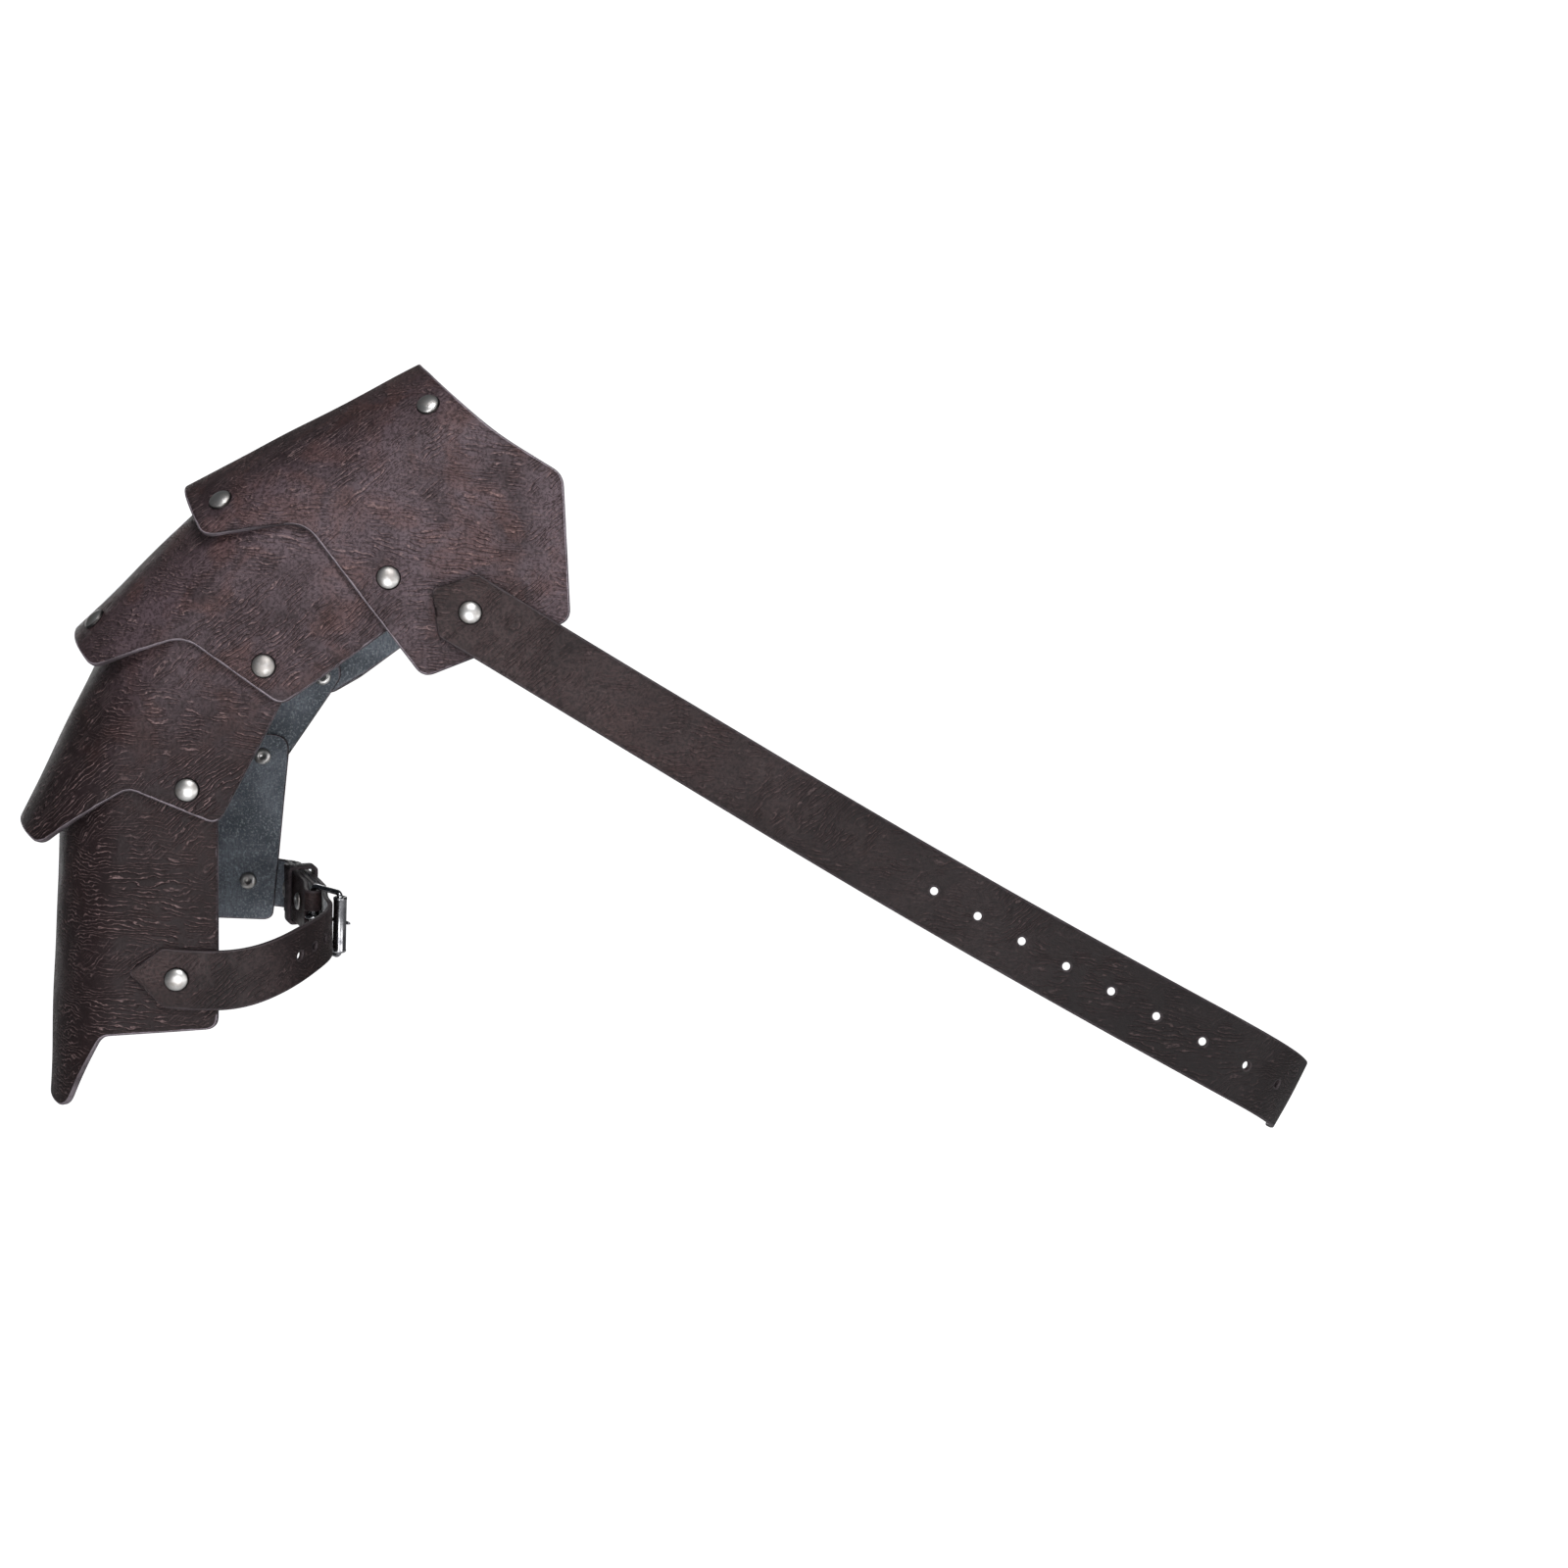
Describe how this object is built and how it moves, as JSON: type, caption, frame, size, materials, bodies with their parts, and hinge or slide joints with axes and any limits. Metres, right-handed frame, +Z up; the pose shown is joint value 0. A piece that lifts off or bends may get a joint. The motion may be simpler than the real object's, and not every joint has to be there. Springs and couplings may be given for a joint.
{
  "type": "leather shoulder pauldron",
  "caption": "Shoulder guard of overlapping bent leather plates joined by domed rivets, with a long punched chest strap and a buckled arm strap.",
  "frame": {"origin": "on the shoulder's ridge line under the top lame, where the guard rests on the wearer", "axes": "+X towards the wearer's neck, +Y to the wearer's back, +Z up; the picture looks along about +Y"},
  "size_m": [0.5575, 0.2285, 0.3395],
  "materials": {
    "lame_leather": "dark brown, mottled and crackled, soft sheen; blue-black suede inside",
    "strap_leather": "dark grey-brown, fine grain",
    "rivet_metal": "antique nickel, mottled",
    "buckle_metal": "dark polished nickel"
  },
  "bodies": {
    "root": {"top_lame": "lame_leather", "second_lame": "lame_leather", "third_lame": "lame_leather", "arm_lame": "lame_leather", "chest_strap": "strap_leather", "arm_strap": "strap_leather", "buckle_strap": "strap_leather", "strap_keeper": "strap_leather", "buckle_frame": "buckle_metal", "buckle_roller": "buckle_metal", "buckle_prong": "buckle_metal", "lobe_rivet_1_front": "rivet_metal", "lobe_rivet_1_back": "rivet_metal", "lobe_rivet_2_front": "rivet_metal", "lobe_rivet_2_back": "rivet_metal", "lobe_rivet_3_front": "rivet_metal", "lobe_rivet_3_back": "rivet_metal", "neck_rivet_front": "rivet_metal", "neck_rivet_back": "rivet_metal", "tongue_rivet_1_front": "rivet_metal", "tongue_rivet_1_back": "rivet_metal", "tongue_rivet_2_front": "rivet_metal", "tongue_rivet_2_back": "rivet_metal", "chest_strap_rivet": "rivet_metal", "arm_strap_rivet": "rivet_metal", "buckle_strap_rivet": "rivet_metal", "fold_rivet_1": "rivet_metal", "fold_rivet_2": "rivet_metal"}
  },
  "joints": []
}
